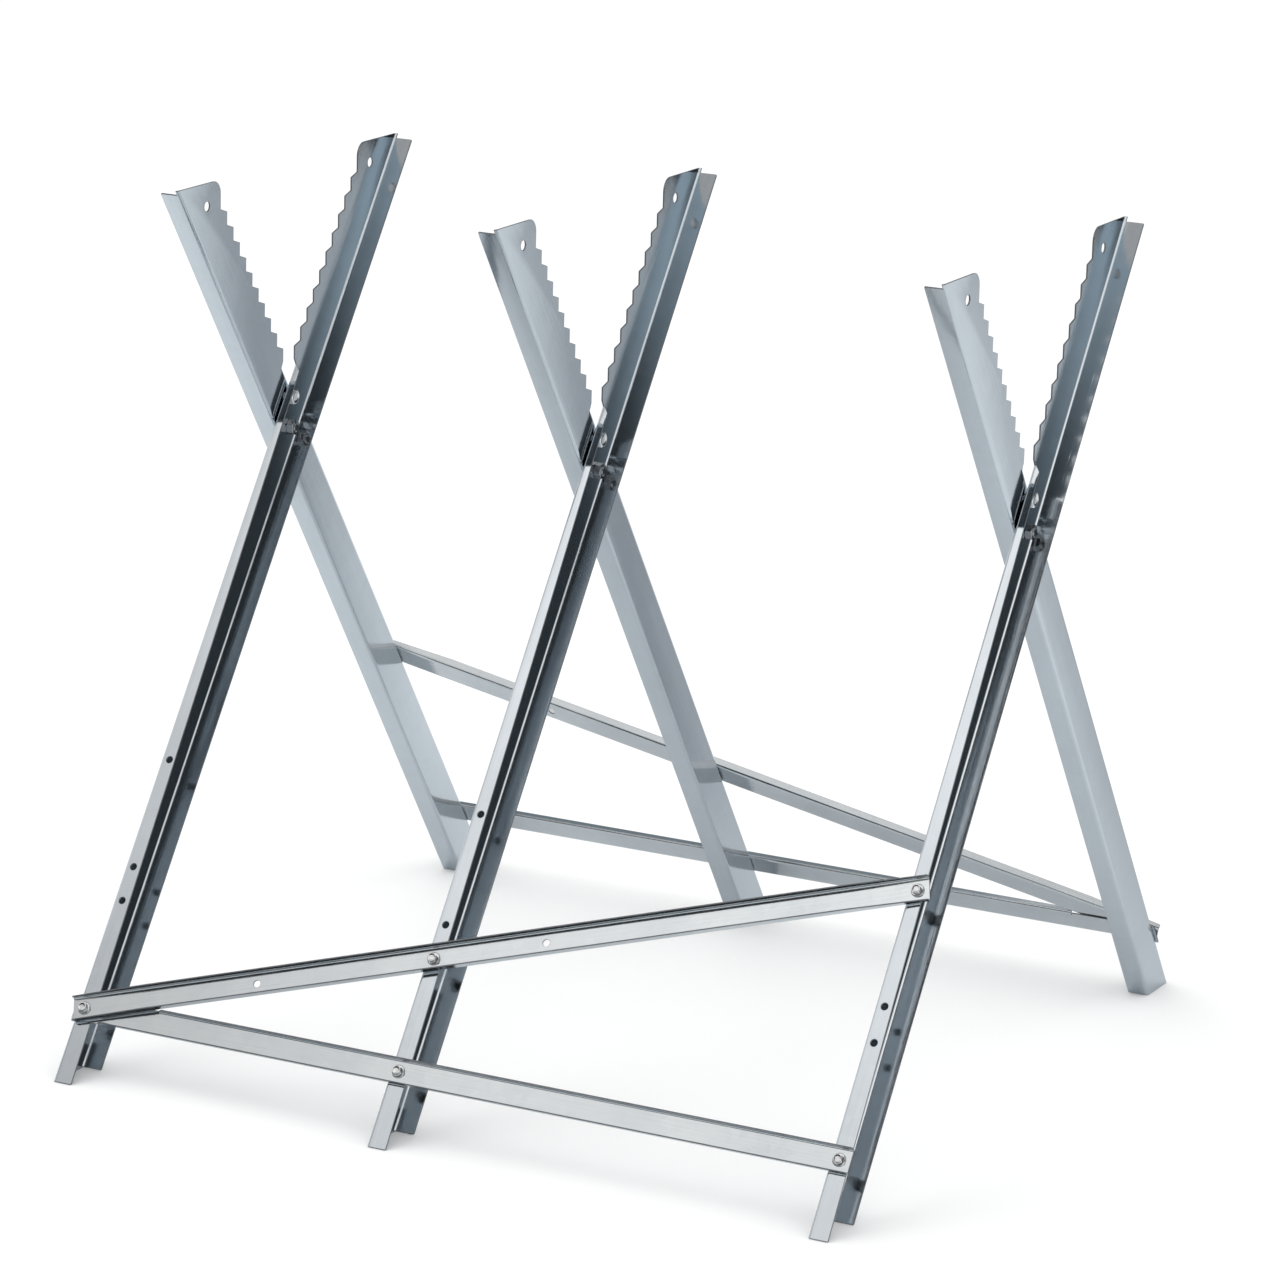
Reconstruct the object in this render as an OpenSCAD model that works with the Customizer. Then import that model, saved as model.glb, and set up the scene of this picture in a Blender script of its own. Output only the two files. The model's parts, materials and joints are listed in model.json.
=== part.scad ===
// Folding log saw stand of pressed sheet steel.
// Three crossed frames stand in a row, each with a front leg and a rear leg bolted back to back at a pivot.
// A lower and a diagonal brace tie the front legs, and a like pair turned half round ties the rear legs.
// X runs along the row of frames, Y to the rear and Z up. The floor is at Z = 0.

/* [Stand] */
// Height of the pivots above the floor
pivot_height = 520; // [480:5:560]
// Height of the leg tops above the floor
stand_height = 767; // [755:1:800]
// Lean of every leg from upright when the stand is open, in degrees
leg_lean = 35; // [32:0.5:38]
// Left frame to middle frame
left_bay = 320; // [280:5:340]
// Middle frame to right frame
right_bay = 420; // [400:5:480]

/* [Leg] */
// Thickness of the leg sheet
leg_sheet = 1.5; // [1:0.1:2]
// Inside radius of the leg bends
leg_bend = 1.5; // [1:0.1:2]
// Pivot line to the outer face of the plain flange
plain_reach = 15; // [13:0.5:18]
// Pivot line to the outer face of the brace flange
brace_reach = 25; // [23:0.5:27]
// Width of the plain flange
plain_flange = 20; // [16:0.5:26]
// Leg top down to the top of the plain flange
plain_drop = 4; // [1:0.5:8]
// Width of the brace flange at the floor
brace_flange_foot = 19; // [17:0.5:24]
// Width of the brace flange at its upper end
brace_flange_top = 7.5; // [6:0.5:10]
// Pivot to the upper end of the brace flange, along the leg
brace_flange_rise = 52; // [40:1:54]
// Length of the bevel at the upper end of the brace flange
brace_flange_bevel = 6; // [2:0.5:12]

/* [Teeth] */
// Number of teeth on a leg
tooth_count = 10; // [6:1:10]
// Distance from tooth to tooth along the leg
tooth_pitch = 19.3; // [17:0.1:19.6]
// Depth of a tooth
tooth_depth = 7; // [4:0.5:8]
// Pivot line to the valleys between the teeth
valley_reach = 29; // [27:0.5:31]
// Pivot to the lowest valley, along the leg
tooth_start = 55.5; // [55:0.5:58]
// Radius of the top corner above the teeth
top_corner = 15; // [6:0.5:18]

/* [Holes] */
// Diameter of the hole near the top of a leg
top_hole = 9; // [6:0.5:12]
// Leg top down to that hole
top_hole_drop = 21; // [14:0.5:30]
// Pivot line to that hole
top_hole_reach = 13.5; // [8:0.5:16]
// Web face to the row of brace holes
brace_hole_offset = 8.5; // [8:0.1:9]
// Diameter of the brace holes
brace_hole = 6.6; // [6.2:0.1:7]
// Floor up to the lowest brace hole, along the leg
low_hole_rise = 53; // [45:1:75]
// Floor up to the highest brace hole, along the leg
high_hole_rise = 293; // [270:1:320]

/* [Braces] */
// Width of a brace
brace_width = 23; // [21:0.5:26]
// Thickness of the brace sheet
brace_sheet = 1.2; // [0.8:0.1:1.6]
// Inside radius of the brace bends
brace_bend = 1.5; // [1:0.1:2]
// Height of the lips of a lower brace
lower_lip = 6.5; // [5:0.5:10]
// Height of the lips of a diagonal brace
diagonal_lip = 9; // [6:0.5:13]
// Height of the lips where they reach the ends of a brace
lip_end = 6; // [3.5:0.5:6.5]
// Length over which the lips grow from an end of a brace
lip_taper = 70; // [20:5:120]
// Bolt centre to the end of a brace
brace_margin = 10.5; // [9:0.5:18]
// Corner radius at the ends of a brace
brace_corner = 2; // [1:0.5:6]
// Gap along a lower brace between the diagonal brace and the start of its upper lip
lip_gap = 4; // [2:0.5:20]
// Shared bolt to where the under lip of a lower brace begins
under_lip_start = 18; // [12:1:40]

/* [Pivot and lock bolts] */
// Diameter of the pivot and lock bolts
pivot_d = 8; // [6:0.5:9]
// Width across flats of their heads and nuts
pivot_flats = 13; // [12:0.5:16]
// Height of their heads
pivot_head = 5.3; // [4:0.1:7]
// Height of their nuts
pivot_nut_h = 6.5; // [5:0.5:10]
// Length of a pivot bolt past its nut
pivot_tail = 1; // [0.5:0.5:6]
// Edge of a lock bolt's head or nut in to the collar under it
lock_collar_inset = 1; // [0.8:0.1:1.2]
// Thickness of that collar
lock_collar_t = 1.2; // [0.8:0.1:2]
// Outer diameter of the washer between two legs
washer_d = 16; // [14:0.5:20]
// Thickness of that washer
washer_t = 1; // [0.6:0.1:2]

/* [Brace bolts] */
// Diameter of the brace bolts
bolt_d = 6; // [5:0.1:6]
// Width across flats of their heads
bolt_flats = 8; // [7:0.5:10]
// Height of the hexagon of a head
bolt_head = 3.8; // [3:0.1:6]
// Diameter of the collar under a head
bolt_collar_d = 12; // [11:0.5:14]
// Thickness of that collar
bolt_collar_t = 1.2; // [0.8:0.1:2]
// Length of a brace bolt under its head
bolt_length = 14; // [12:0.5:18]
// Width across flats of their nuts
nut_flats = 10; // [9:0.1:10]
// Height of their nuts
nut_h = 5; // [4:0.1:6]

/* [Hidden] */
// Radial play between a pivot bolt and the legs that turn on it
pivot_play = 0.05;
// Running gap beside the turning legs
running_gap = 0.1;
// Radial play in the clearance hole of a lock bolt and in the washers
clearance_play = 0.2;
// Gap between the collars of the lock bolts and the bends beside them
lock_gap = 0.2;
// Radial play between a bolt and its nut
thread_play = 0.05;
// Gap that keeps a sloping brace clear of the sheet under it
lap_gap = 0.25;
// Gap under the far end of a diagonal brace and under the bolt heads on it
seat_gap = 0.05;
// Overrun of every cut
overrun = 5;
// Smoothness of round faces
$fn = 64;

steel = "#b4bac0";
bright_steel = "#c6cbd0";
bolt_steel = "#d0d2d4";

frames = ["left", "middle", "right"];
bay_span = left_bay + right_bay;
frame_x = [-bay_span / 2, left_bay - bay_span / 2, bay_span / 2];

web_gap = washer_t + running_gap;
web_face = web_gap / 2;
inner_face = web_face + leg_sheet;
bolt_line = web_face + brace_hole_offset;

// The leg is measured from the pivot: along it upwards, and across it from the pivot line.
leg_low = -(pivot_height + brace_reach) / cos(leg_lean);
leg_high = (stand_height - pivot_height + plain_reach) / cos(leg_lean);
riser = tooth_depth / tan(leg_lean);
tip_reach = valley_reach + tooth_depth;
top_valley = tooth_start + tooth_count * tooth_pitch;
top_rise = stand_height - pivot_height;
top_hole_along = (top_rise - top_hole_drop - top_hole_reach * sin(leg_lean)) / cos(leg_lean);
corner_y = top_valley * sin(leg_lean) - valley_reach * cos(leg_lean);
web_flat = brace_reach - leg_sheet - leg_bend;

// A lock bolt stands above the pivot, as high as the bend beside its collar lets it.
lock_collar_d = pivot_flats - 2 * lock_collar_inset;
lock_rise = (web_flat - lock_collar_d / 2 - lock_gap) / sin(leg_lean);

// Brace holes of a leg. A leg can stand at any of these places along a row.
hole_climb = high_hole_rise - low_hole_rise;
low_hole = low_hole_rise - pivot_height / cos(leg_lean);
leg_places = [0, left_bay, right_bay, bay_span];
brace_holes = [for (place = leg_places) low_hole + hole_climb * place / bay_span];
climb_angle = atan(hole_climb / bay_span);
diagonal_span = bay_span / cos(climb_angle);
upper_lip_start = brace_width / 2 * (1 + 1 / cos(climb_angle)) / tan(climb_angle) + lip_gap;
low_lift = brace_sheet + lap_gap;
tilt_angle = asin((low_lift - seat_gap) / diagonal_span);

// The five bolts of one side: name, place along the row from the corner, and whether on the diagonal.
bolt_names = ["corner", "lower_middle", "lower_end", "diagonal_middle", "diagonal_end"];
function bolt_place(i, near_bay) = [0, near_bay, bay_span, near_bay, bay_span][i];
function on_diagonal(i) = i == 0 || i > 2;
function bolt_along(i, near_bay) =
    on_diagonal(i) ? low_hole + hole_climb * bolt_place(i, near_bay) / bay_span : low_hole;
function diagonal_lift(place) = low_lift + (seat_gap - low_lift) * place / bay_span;
function bolt_lift(i, near_bay) = on_diagonal(i) ? diagonal_lift(bolt_place(i, near_bay)) + seat_gap : 0;

sides = ["front", "rear"];
leg_nodes = [for (side = sides, name = frames) str(side, "_leg_", name)];
brace_nodes = [for (side = sides, kind = ["lower", "diagonal"]) str(side, "_", kind, "_brace")];
pivot_kinds = ["pivot_bolt_", "pivot_nut_", "pivot_washer_", "lock_bolt_", "lock_nut_"];
pivot_nodes = [for (kind = pivot_kinds, name = frames) str(kind, name)];
bolt_kinds = ["_bolt_", "_nut_"];
bolt_nodes = [for (side = sides, kind = bolt_kinds, name = bolt_names) str(side, kind, name)];

// Puts a part drawn beside the pivot line, with the leg upright, into the front frame.
module front_frame() {
    translate([0, 0, pivot_height]) rotate([-leg_lean, 0, 0]) children();
}

// The rear frame is the front frame turned half round.
module rear_frame() {
    rotate([0, 0, 180]) front_frame() children();
}

// Either side by name. A leg's place along the row turns round with it.
module side_frame(side) {
    if (side == "front") front_frame() children();
    else rear_frame() children();
}

function turned(side) = side == "front" ? 1 : -1;
function near_bay_of(side) = side == "front" ? left_bay : right_bay;

// Spare holes of a diagonal brace, by their places along the row from its corner.
// Both sides have one halfway along the left bay.
function spare_places(side) = side == "front" ? [left_bay / 2, right_bay] : [bay_span - left_bay / 2];

// Turns a shape from the floor's directions into the leg's own.
module upright() {
    rotate([leg_lean, 0, 0]) children();
}

// A flat block with one corner rounded, at the low X and high Y end.
module rounded_block(size_x, size_y, radius) {
    difference() {
        square([size_x, size_y]);
        difference() {
            translate([0, size_y - radius]) square(radius);
            translate([radius, size_y - radius]) circle(radius);
        }
    }
}

// Section of a sheet that runs up a web and bends over into a flange.
module bent_section(reach, flange, sheet, bend) {
    difference() {
        rounded_block(flange, reach, bend + sheet);
        translate([sheet, -overrun]) rounded_block(flange, reach - sheet + overrun, bend);
    }
}

// Web and plain flange, from below the floor to above the top.
module plain_side() {
    translate([0, 0, leg_low])
        linear_extrude(leg_high - leg_low)
            bent_section(plain_reach, plain_flange, leg_sheet, leg_bend);
}

// Web and brace flange. The flange narrows upwards and ends in a bevel.
module brace_side() {
    outline = [
        [0, leg_low],
        [brace_flange_foot, leg_low],
        [brace_flange_top, brace_flange_rise - brace_flange_bevel],
        [leg_sheet + leg_bend, brace_flange_rise],
        [0, brace_flange_rise],
    ];
    intersection() {
        translate([0, 0, leg_low])
            linear_extrude(brace_flange_rise - leg_low)
                mirror([0, 1]) bent_section(brace_reach, brace_flange_foot, leg_sheet, leg_bend);
        rotate([90, 0, 0]) linear_extrude(brace_reach) polygon(outline);
    }
}

// Toothed plate above the brace flange, seen along the row. Each tooth has an upright and a sloping face.
module tooth_outline() {
    teeth = [for (i = [0 : tooth_count - 1]) each [
        [-valley_reach, tooth_start + i * tooth_pitch],
        [-tip_reach, tooth_start + i * tooth_pitch + riser],
    ]];
    top_edge = [corner_y, top_rise];
    turned_top = [
        top_edge[0] * cos(leg_lean) - top_edge[1] * sin(leg_lean),
        top_edge[0] * sin(leg_lean) + top_edge[1] * cos(leg_lean),
    ];
    difference() {
        polygon(concat(
            [[0, brace_flange_rise], [-web_flat, brace_flange_rise]],
            teeth,
            [[-valley_reach, top_valley], turned_top, [0, leg_high]]
        ));
        rotate(leg_lean)
            translate([corner_y, top_rise - top_corner])
                difference() {
                    translate([-overrun, 0]) square([top_corner + overrun, top_corner + overrun]);
                    translate([top_corner, 0]) circle(top_corner);
                }
    }
}

module tooth_plate() {
    rotate([90, 0, 90]) linear_extrude(leg_sheet) tooth_outline();
}

// Round hole through the web.
module web_hole(diameter) {
    rotate([0, 90, 0])
        translate([0, 0, -overrun])
            cylinder(d = diameter, h = leg_sheet + 2 * overrun);
}

// Round hole through the brace flange, square to it.
module flange_hole() {
    translate([brace_hole_offset, -brace_reach + leg_sheet + leg_bend, 0])
        rotate([90, 0, 0])
            cylinder(d = brace_hole, h = leg_sheet + leg_bend + overrun);
}

// One leg with its web face at X = 0, its pivot at the origin and its teeth towards the low Y end.
module leg() {
    span = plain_flange + brace_flange_foot;
    difference() {
        union() {
            plain_side();
            brace_side();
            tooth_plate();
        }
        upright()
            translate([-overrun, -stand_height, -pivot_height - stand_height])
                cube([span, 2 * stand_height, stand_height]);
        upright()
            translate([-overrun, -stand_height, top_rise])
                cube([span, 2 * stand_height, stand_height]);
        upright()
            translate([leg_sheet + leg_bend, -stand_height, top_rise - plain_drop])
                cube([span, 2 * stand_height, stand_height]);
        web_hole(pivot_d + 2 * pivot_play);
        upright() translate([0, 0, lock_rise]) web_hole(pivot_d + 2 * clearance_play);
        translate([0, -top_hole_reach, top_hole_along]) web_hole(top_hole);
        for (along = brace_holes) translate([0, 0, along]) flange_hole();
    }
}

module placed_leg(side, k) {
    color(steel)
        side_frame(side)
            translate([turned(side) * frame_x[k] + web_face, 0, 0])
                leg();
}

// Section of a brace: a flat web with a lip along each edge, both on the same side.
module brace_section(lip) {
    for (edge = [0, 1])
        mirror([0, edge])
            bent_section(brace_width / 2, lip, brace_sheet, brace_bend);
}

// Shape of a brace seen from its side: the lips grow from each end to full height.
module lip_outline(length, lip) {
    polygon([
        [-brace_margin, 0],
        [length + brace_margin, 0],
        [length + brace_margin, lip_end],
        [length + brace_margin - lip_taper, lip],
        [lip_taper - brace_margin, lip],
        [-brace_margin, lip_end],
    ]);
}

// Shape of a brace seen from its face, with rounded end corners.
module face_outline(length) {
    for (x = [brace_corner - brace_margin, length + brace_margin - brace_corner])
        for (z = [-1, 1] * (brace_width / 2 - brace_corner))
            translate([x, z]) circle(brace_corner);
    translate([-brace_margin, brace_corner - brace_width / 2])
        square([length + 2 * brace_margin, brace_width - 2 * brace_corner]);
    translate([brace_corner - brace_margin, -brace_width / 2])
        square([length + 2 * (brace_margin - brace_corner), brace_width]);
}

// A brace along X from its first bolt, with its back on the XZ plane and its lips towards the low Y end.
module brace(length, lip, holes) {
    difference() {
        intersection() {
            translate([-brace_margin, 0, 0])
                rotate([0, 90, 0])
                    linear_extrude(length + 2 * brace_margin)
                        rotate(-90) brace_section(lip);
            rotate([90, 0, 0]) linear_extrude(lip) face_outline(length);
            mirror([0, 1, 0])
                translate([0, 0, -brace_width / 2])
                    linear_extrude(brace_width) lip_outline(length, lip);
        }
        for (x = holes)
            translate([x, overrun, 0])
                rotate([90, 0, 0])
                    cylinder(d = brace_hole, h = brace_sheet + 2 * overrun);
    }
}

// Lower brace. Its lips stop short of the shared bolt, so that the diagonal brace lies flat on it there.
module lower_brace(near_bay) {
    edge = brace_bend + brace_sheet;
    end = brace_margin + overrun;
    height = lower_lip + overrun;
    difference() {
        brace(bay_span, lower_lip, [0, near_bay, bay_span]);
        for (cut = [[0, upper_lip_start], [1, under_lip_start]])
            mirror([0, 0, cut[0]])
                translate([-end, -height, brace_width / 2 - edge])
                    cube([end + cut[1], height - brace_sheet, edge + overrun]);
    }
}

module placed_lower_brace(side) {
    color(bright_steel)
        side_frame(side)
            translate([frame_x[0] + bolt_line, -brace_reach, low_hole])
                lower_brace(near_bay_of(side));
}

// Diagonal brace, with holes for its three bolts and spare ones.
module diagonal_brace(side) {
    places = concat([0, near_bay_of(side), bay_span], spare_places(side));
    brace(diagonal_span, diagonal_lip, places / cos(climb_angle));
}

module placed_diagonal_brace(side) {
    color(bright_steel)
        side_frame(side)
            translate([frame_x[0] + bolt_line, -brace_reach - low_lift, low_hole])
                rotate([0, -climb_angle, 0])
                    rotate([0, 0, tilt_angle])
                        diagonal_brace(side);
}

// Hexagon of a given width across flats, rising from Z = 0 with two flats square to X.
module hexagon(flats, height) {
    rotate(30) cylinder(d = flats / cos(30), h = height, $fn = 6);
}

// Bolt with a collar under its hexagon head. The head rises from Z = 0 and the shank goes down.
module collar_bolt(diameter, length, flats, head, collar_d, collar_t) {
    translate([0, 0, collar_t]) hexagon(flats, head);
    cylinder(d = collar_d, h = collar_t);
    translate([0, 0, -length]) cylinder(d = diameter, h = length);
}

module nut(diameter, flats, height) {
    difference() {
        hexagon(flats, height);
        translate([0, 0, -overrun])
            cylinder(d = diameter + 2 * thread_play, h = height + 2 * overrun);
    }
}

// Puts a part drawn upwards from Z = 0 onto the pivot line of one frame, pointing along the row.
module on_pivot(k, x, rise, towards) {
    translate([frame_x[k] + x, 0, pivot_height + rise])
        rotate([0, 90 * towards, 0])
            children();
}

module pivot_bolt(k) {
    grip = 2 * inner_face + running_gap + pivot_nut_h + pivot_tail;
    color(bolt_steel)
        on_pivot(k, -inner_face - running_gap, 0, -1) {
            hexagon(pivot_flats, pivot_head);
            translate([0, 0, -grip]) cylinder(d = pivot_d, h = grip);
        }
}

module pivot_nut(k) {
    color(bolt_steel)
        on_pivot(k, inner_face, 0, 1)
            nut(pivot_d, pivot_flats, pivot_nut_h);
}

module pivot_washer(k) {
    color(bolt_steel)
        on_pivot(k, web_face - washer_t, 0, 1)
            difference() {
                cylinder(d = washer_d, h = washer_t);
                translate([0, 0, -overrun])
                    cylinder(d = pivot_d + 2 * clearance_play, h = washer_t + 2 * overrun);
            }
}

// Puts a lock bolt or its nut above the pivot of one frame, with two flats facing the leg's flanges.
module on_lock(k, x, towards) {
    on_pivot(k, x, lock_rise, towards)
        rotate(-90 * towards - leg_lean)
            children();
}

// Lock bolt above the pivot. Its shank ends level with the web face, so that the frames can fold.
module lock_bolt(k) {
    color(bolt_steel)
        on_lock(k, inner_face, 1)
            collar_bolt(pivot_d, leg_sheet, pivot_flats, pivot_head, lock_collar_d, lock_collar_t);
}

// Collared nut on the rear leg, in line with the lock bolt when the stand is open.
module lock_nut(k) {
    color(bolt_steel)
        on_lock(k, -inner_face, -1) {
            translate([0, 0, lock_collar_t]) nut(pivot_d, pivot_flats, pivot_nut_h);
            difference() {
                cylinder(d = lock_collar_d, h = lock_collar_t);
                translate([0, 0, -overrun])
                    cylinder(d = pivot_d + 2 * thread_play, h = lock_collar_t + 2 * overrun);
            }
        }
}

// Puts a part drawn upwards from Z = 0 onto the outer face of a brace flange, at one of the five bolts.
module on_flange(side, i, lift) {
    near_bay = near_bay_of(side);
    x = frame_x[0] + bolt_place(i, near_bay) + bolt_line;
    side_frame(side)
        translate([x, -brace_reach - lift, bolt_along(i, near_bay)])
            rotate([90, 0, 0])
                children();
}

module brace_bolt(side, i) {
    color(bolt_steel)
        on_flange(side, i, bolt_lift(i, near_bay_of(side)) + brace_sheet)
            collar_bolt(bolt_d, bolt_length, bolt_flats, bolt_head, bolt_collar_d, bolt_collar_t);
}

module brace_nut(side, i) {
    color(bolt_steel)
        on_flange(side, i, -leg_sheet - nut_h)
            nut(bolt_d, nut_flats, nut_h);
}

for (side = sides) {
    for (k = [0 : len(frames) - 1])
        placed_leg(side, k);
    placed_lower_brace(side);
    placed_diagonal_brace(side);
    for (i = [0 : len(bolt_names) - 1])
        brace_bolt(side, i);
    for (i = [0 : len(bolt_names) - 1])
        brace_nut(side, i);
}
for (k = [0 : len(frames) - 1]) {
    pivot_bolt(k);
    pivot_nut(k);
    pivot_washer(k);
    lock_bolt(k);
    lock_nut(k);
}
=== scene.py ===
"""Folding log saw stand of galvanised sheet steel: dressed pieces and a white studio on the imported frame."""

import json
import math
from collections import namedtuple

import bpy
import numpy as np
from bpy.props import FloatProperty, FloatVectorProperty, IntProperty, PointerProperty
from mathutils import Matrix, Vector
from mathutils.geometry import delaunay_2d_cdt


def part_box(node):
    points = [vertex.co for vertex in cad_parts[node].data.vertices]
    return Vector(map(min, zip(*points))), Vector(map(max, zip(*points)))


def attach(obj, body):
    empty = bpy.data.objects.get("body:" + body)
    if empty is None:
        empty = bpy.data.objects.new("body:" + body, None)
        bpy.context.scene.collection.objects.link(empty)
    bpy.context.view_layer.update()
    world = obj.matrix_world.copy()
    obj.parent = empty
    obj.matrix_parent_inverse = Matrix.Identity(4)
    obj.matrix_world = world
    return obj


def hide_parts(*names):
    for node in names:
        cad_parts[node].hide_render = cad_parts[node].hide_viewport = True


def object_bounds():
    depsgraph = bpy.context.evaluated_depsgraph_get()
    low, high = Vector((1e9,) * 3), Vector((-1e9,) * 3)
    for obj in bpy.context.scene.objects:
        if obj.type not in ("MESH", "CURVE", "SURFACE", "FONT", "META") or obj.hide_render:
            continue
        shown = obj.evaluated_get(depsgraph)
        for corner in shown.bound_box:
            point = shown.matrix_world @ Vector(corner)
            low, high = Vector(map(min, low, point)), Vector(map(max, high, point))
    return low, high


bl_info = {
    "name": "Log saw stand",
    "version": (1, 0, 0),
    "blender": (4, 5, 0),
    "location": "3D View > Sidebar > Saw stand",
    "description": "Builds the folded sheets, bolts and studio of a log saw stand",
    "category": "Object",
}

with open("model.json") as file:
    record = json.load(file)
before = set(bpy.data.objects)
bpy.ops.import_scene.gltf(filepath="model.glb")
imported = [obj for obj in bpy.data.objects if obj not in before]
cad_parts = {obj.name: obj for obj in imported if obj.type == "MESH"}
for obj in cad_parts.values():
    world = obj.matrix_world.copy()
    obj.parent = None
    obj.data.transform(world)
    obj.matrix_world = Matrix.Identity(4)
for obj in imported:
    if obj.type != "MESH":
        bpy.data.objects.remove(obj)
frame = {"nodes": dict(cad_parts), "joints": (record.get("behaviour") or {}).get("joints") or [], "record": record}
CAD_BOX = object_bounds()
RECORD = frame["record"]
BODY_OF = {node: body for body, nodes in RECORD["behaviour"]["bodies"].items() for node in nodes}
PIVOT = np.array(frame["joints"][0]["pos_m"])
STAND_HEIGHT = CAD_BOX[1][2]
FRAMES = ("left", "middle", "right")
SIDES = {"front": 1.0, "rear": -1.0}
BRACE_BOLTS = ("corner", "lower_middle", "lower_end", "diagonal_middle", "diagonal_end")
QUARTER_TURN = math.pi / 2
FULL_TURN = 2 * math.pi
RIGHT = np.array([1.0, 0.0, 0.0])
UPRIGHT = np.array([0.0, 0.0, 1.0])
# A direction that no bolt lies along
ASKEW = np.array([0.3, 0.5, 0.8])

# Fineness of the surfaces
AROUND = 72
TURN = np.linspace(0, FULL_TURN, AROUND, endpoint=False)
HOLE_POINTS = 40
CORNER_POINTS = 6
EDGE_STEPS = 3
LEG_BEND_LINES = 9
BRACE_BEND_LINES = 7
# Corners of a rim that look round, edges of a turned piece that look sharp
SMOOTH_BELOW = math.radians(35)
SHARP_ABOVE = math.radians(32)
# Share of an edge that a rounded corner may take up, and the gap below which two points are one
LONGEST_EASE = 0.45
SAME_POINT = 1e-9

# Heads, nuts, threads, collars and washers, as shares of their flats, pitches, lengths and thicknesses
BLUNT_CORNER = 0.985
FACE_CIRCLE = 0.475
CHAMFER = math.radians(30)
HEAD_DISH = ((0.20, 0.035), (0.34, 0.03), (0.39, 0.0), (FACE_CIRCLE, 0.0))
NUT_MOUTH = 0.06
THREAD_DEPTH = 0.54
THREAD_STEPS = 8
LOCK_THREAD = 0.25
COLLAR_EDGE = ((0.9, 0.97), (0.3, 0.85), (0.08, 0.65), (0.0, 0.45), (0.0, 0.10), (0.1, 0.0))
WASHER_EASE = 0.2

# Turn of the first of a row of heads or nuts, and the step to the next, in radians
BRACE_BOLT_TURN = (0.4, 0.9)
BRACE_NUT_TURN = (0.2, 0.7)
PIVOT_BOLT_TURN = (0.3, 0.5)
PIVOT_NUT_TURN = (0.1, 0.6)

# Zinc: its stretch by rolling, its contrast, the edge of the painted bend highlight and the depth of its relief
ROLLING_STRETCH = (1.0, 0.012, 1.0)
TONE_CONTRAST = (0.34, 0.72)
HIGHLIGHT_FADE = (0.62, 0.38)
SHEET_RELIEF = 0.0003
CUT_RELIEF = 0.0001
CUT_SHADE = 0.7
PLATING_RELIEF = 0.00008
PLATING_SKIN = {"Cells": 500.0, "Clouds": 160.0, "Streaks": 400.0, "Roughness": 0.18, "Spread": 0.12}

# Studio: the dim stripe of floor, the floor near the stand, the lamp, the cards and the camera
STRIPE_ACROSS = (0.89, -0.455, 0.0)
STRIPE_SHIFT = 0.08
STRIPE_HALF = 0.42
NEAR_RADII = (0.5, 0.9)
NEAR_SHARE = 0.25
KEY_PLACE = Vector((-1.2, -0.8, 2.6))
KEY_AIM = Vector((0.0, 0.0, 0.3))
WHITE = (1.0, 1.0, 1.0)
SQUARE = np.array([[-1, -1], [1, -1], [1, 1], [-1, 1]]) / 2
CARD_CENTRE = np.array([0.0, 0.0, 0.4])
SENSOR_WIDTH = 36.0
Card = namedtuple(
    "Card", "name direction distance size shade strengths heights places share",
    defaults=((0.0, 1.0), (0.0, 1.0), 0.0))


def length(name, description, default):
    """A property that holds a length in metres."""
    return FloatProperty(
        name=name, description=description, default=default, min=0.0, unit="LENGTH", precision=5)


def degrees(name, description, default):
    """A property that holds an angle, whose default is given in degrees."""
    return FloatProperty(name=name, description=description, default=math.radians(default), subtype="ANGLE")


def colour(name, description, default):
    """A property that holds a linear colour."""
    return FloatVectorProperty(
        name=name, description=description, default=default, size=3, min=0.0, max=1.0, subtype="COLOR")


class SAWSTAND_PG_legs(bpy.types.PropertyGroup):
    """Sizes of the pressed legs, measured from the pivot along the leg and across it."""

    lean: degrees("Lean", "Lean of a leg from upright", 35.0)
    sheet: length("Sheet", "Thickness of the leg sheet", 0.0015)
    bend: length("Bend", "Inside radius of the bends", 0.0015)
    cut_edge: length("Cut edge", "Radius left on the sheared edges", 0.00025)
    plain_reach: length("Plain reach", "Pivot line to the outer face of the plain flange", 0.015)
    brace_reach: length("Brace reach", "Pivot line to the outer face of the brace flange", 0.025)
    plain_flange: length("Plain flange", "Width of the plain flange", 0.020)
    plain_drop: length("Plain drop", "Leg top down to the top of the plain flange", 0.004)
    brace_flange_foot: length("Brace flange at foot", "Width of the brace flange at the floor", 0.0188)
    brace_flange_top: length("Brace flange at top", "Width of the brace flange at its upper end", 0.0075)
    brace_flange_rise: length("Brace flange rise", "Pivot to the upper end of the brace flange", 0.052)
    brace_flange_bevel: length("Brace flange bevel", "Length of the bevel at that end", 0.006)
    tooth_count: IntProperty(name="Teeth", description="Number of teeth on a leg", default=10, min=1)
    tooth_pitch: length("Tooth pitch", "Distance from tooth to tooth", 0.0193)
    tooth_depth: length("Tooth depth", "Depth of a tooth", 0.007)
    valley_reach: length("Valley reach", "Pivot line to the valleys between the teeth", 0.029)
    tooth_start: length("Tooth start", "Pivot to the lowest valley", 0.0555)
    tooth_ease: length("Tooth ease", "Radius on the tips and in the valleys of the teeth", 0.0005)
    top_corner: length("Top corner", "Radius of the corner above the teeth", 0.015)
    small_corner: length("Small corner", "Radius of the other corners of the blank", 0.001)
    pivot_hole: length("Pivot hole", "Diameter of the pivot hole", 0.0081)
    lock_hole: length("Lock hole", "Diameter of the lock bolt's hole", 0.0084)
    top_hole: length("Top hole", "Diameter of the hole near the top", 0.009)
    top_hole_drop: length("Top hole drop", "Leg top down to that hole", 0.021)
    top_hole_reach: length("Top hole reach", "Pivot line to that hole", 0.0135)
    brace_hole: length("Brace hole", "Diameter of the brace holes", 0.0066)


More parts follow.
